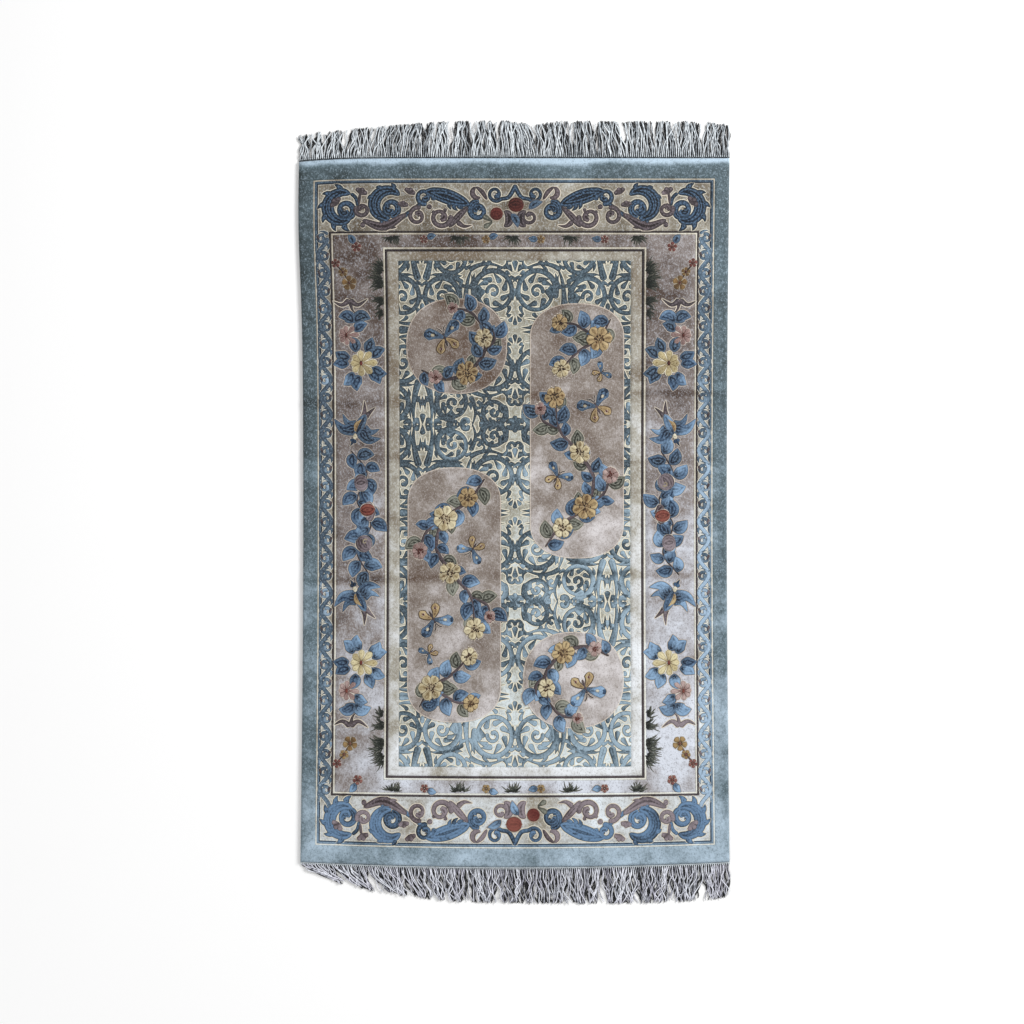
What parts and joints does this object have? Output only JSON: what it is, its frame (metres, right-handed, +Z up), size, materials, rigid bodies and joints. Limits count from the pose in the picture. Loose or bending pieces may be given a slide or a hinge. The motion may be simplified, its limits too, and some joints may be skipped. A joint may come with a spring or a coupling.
{
  "type": "chinese silk rug",
  "caption": "Flat rectangular knotted silk rug with carved border stripes and field panels, and a twisted cord fringe at each end.",
  "frame": {"origin": "on the floor, under the middle of the whole rug, fringes included", "axes": "+Y along the rug towards its head end (the top of the picture), +X to its right side, +Z up out of the pile"},
  "size_m": [0.922, 1.68, 0.009],
  "materials": {
    "silk_pile": "cut silk pile in muted blue, taupe and cream, with a soft directional sheen",
    "warp_cord": "twisted grey-white warp cords, matt"
  },
  "bodies": {
    "root": {"rug_body": "silk_pile", "fringe_head": "warp_cord", "fringe_foot": "warp_cord"}
  },
  "joints": []
}
